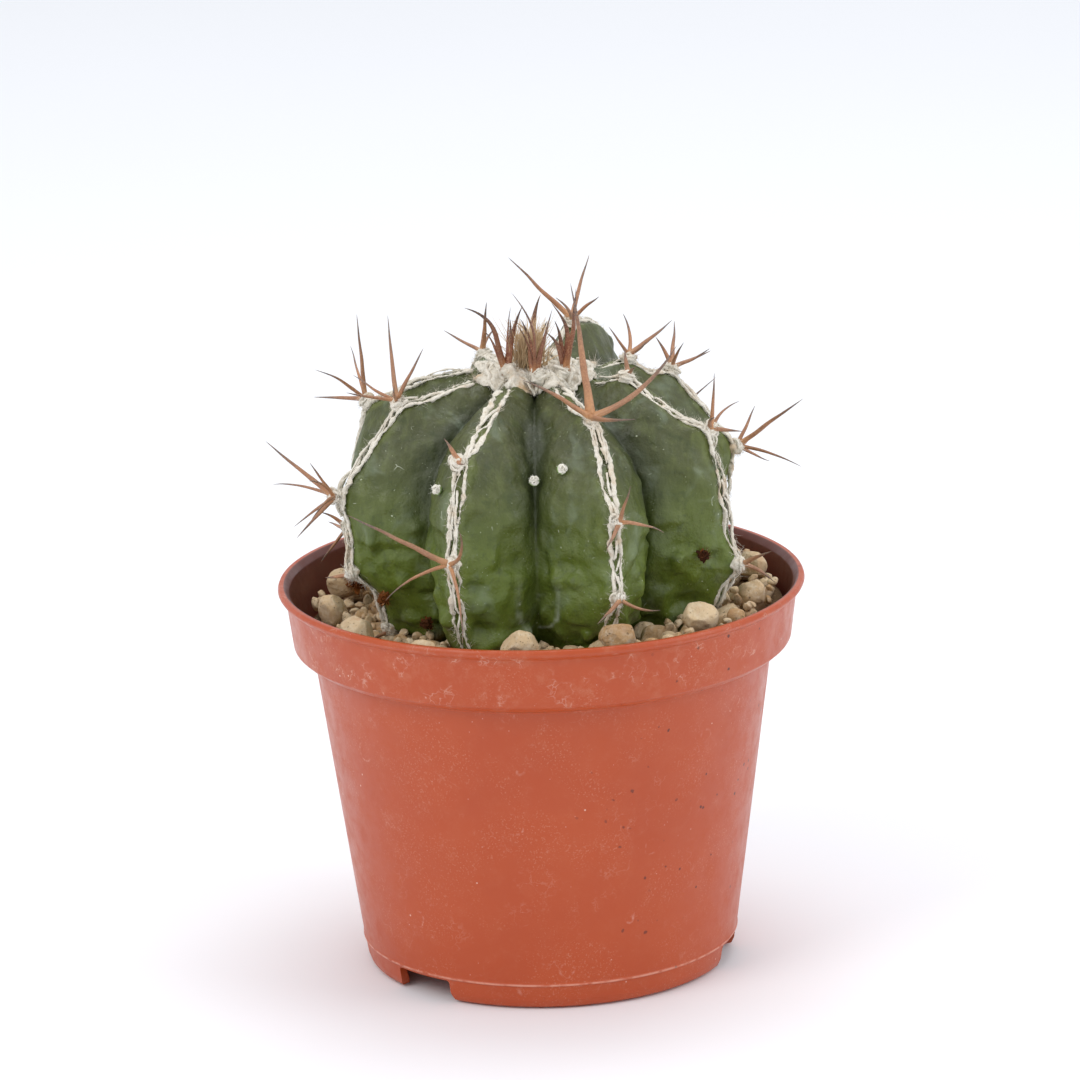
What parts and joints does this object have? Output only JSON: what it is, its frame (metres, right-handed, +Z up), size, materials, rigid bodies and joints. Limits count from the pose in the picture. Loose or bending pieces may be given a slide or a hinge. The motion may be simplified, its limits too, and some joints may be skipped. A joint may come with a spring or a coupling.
{
  "type": "potted round cactus",
  "caption": "Ribbed globe cactus with woolly rib edges and long spines, growing in a round plastic nursery pot topped with pumice stones.",
  "frame": {"origin": "middle of the pot's base, on the surface that the pot stands on", "axes": "+Z up along the pot and stem; -Y is the front; +X is to the right seen from the front"},
  "size_m": [0.1222, 0.1277, 0.1635],
  "materials": {
    "pot_plastic": "satin terracotta-coloured plastic with lime specks and water marks",
    "growing_medium": "loose mineral grit with fine dark soil between the grains",
    "root": "pale corky root bark",
    "cactus_skin": "waxy dark green skin with fine pale flecks",
    "wool": "matted cream-white plant wool",
    "spine": "horny tan spines with dark grey tips",
    "crown_spine": "young red-brown spines",
    "bud_skin": "pale green bud under white wool",
    "dried_flower": "dry brown fluffy flower remains",
    "pumice": "rough porous beige pumice"
  },
  "bodies": {
    "root": {"nursery_pot": "pot_plastic", "growing_medium": "growing_medium", "roots": "root", "cactus_stem": "cactus_skin", "rib_felt_a": "wool", "rib_felt_b": "wool", "rib_felt_c": "wool", "rib_felt_d": "wool", "rib_felt_e": "wool", "rib_felt_f": "wool", "rib_felt_g": "wool", "rib_felt_h": "wool", "crown_wool": "wool", "areole_h_upper": "spine", "areole_h_middle": "spine", "areole_h_lower": "spine", "areole_h_lowest": "spine", "areole_a_upper": "spine", "areole_a_middle": "spine", "areole_b_upper": "spine", "areole_b_middle": "spine", "areole_b_lower": "spine", "areole_c_crown": "spine", "areole_c_upper": "spine", "areole_c_lower": "spine", "areole_d_crown": "spine", "areole_d_upper": "spine", "areole_d_middle": "spine", "areole_e_crown": "spine", "areole_e_middle": "spine", "areole_e_lower": "spine", "areole_f_upper": "spine", "areole_f_lower": "spine", "areole_g_upper": "spine", "areole_g_lower": "spine", "crown_cluster_left": "crown_spine", "crown_cluster_middle": "crown_spine", "crown_cluster_right": "crown_spine", "crown_cluster_back": "crown_spine", "offset_bud_furrow": "bud_skin", "offset_bud_right": "bud_skin", "offset_bud_left": "bud_skin", "dried_flower_back_left": "dried_flower", "dried_flower_left": "dried_flower", "dried_flower_rib_h": "dried_flower", "dried_flower_rib_h_low": "dried_flower", "dried_flower_rib_c": "dried_flower", "stone_01": "pumice", "stone_02": "pumice", "stone_03": "pumice", "stone_04": "pumice", "stone_05": "pumice", "stone_06": "pumice", "stone_07": "pumice", "stone_08": "pumice", "stone_09": "pumice", "stone_10": "pumice", "stone_11": "pumice", "stone_12": "pumice", "stone_13": "pumice"}
  },
  "joints": []
}
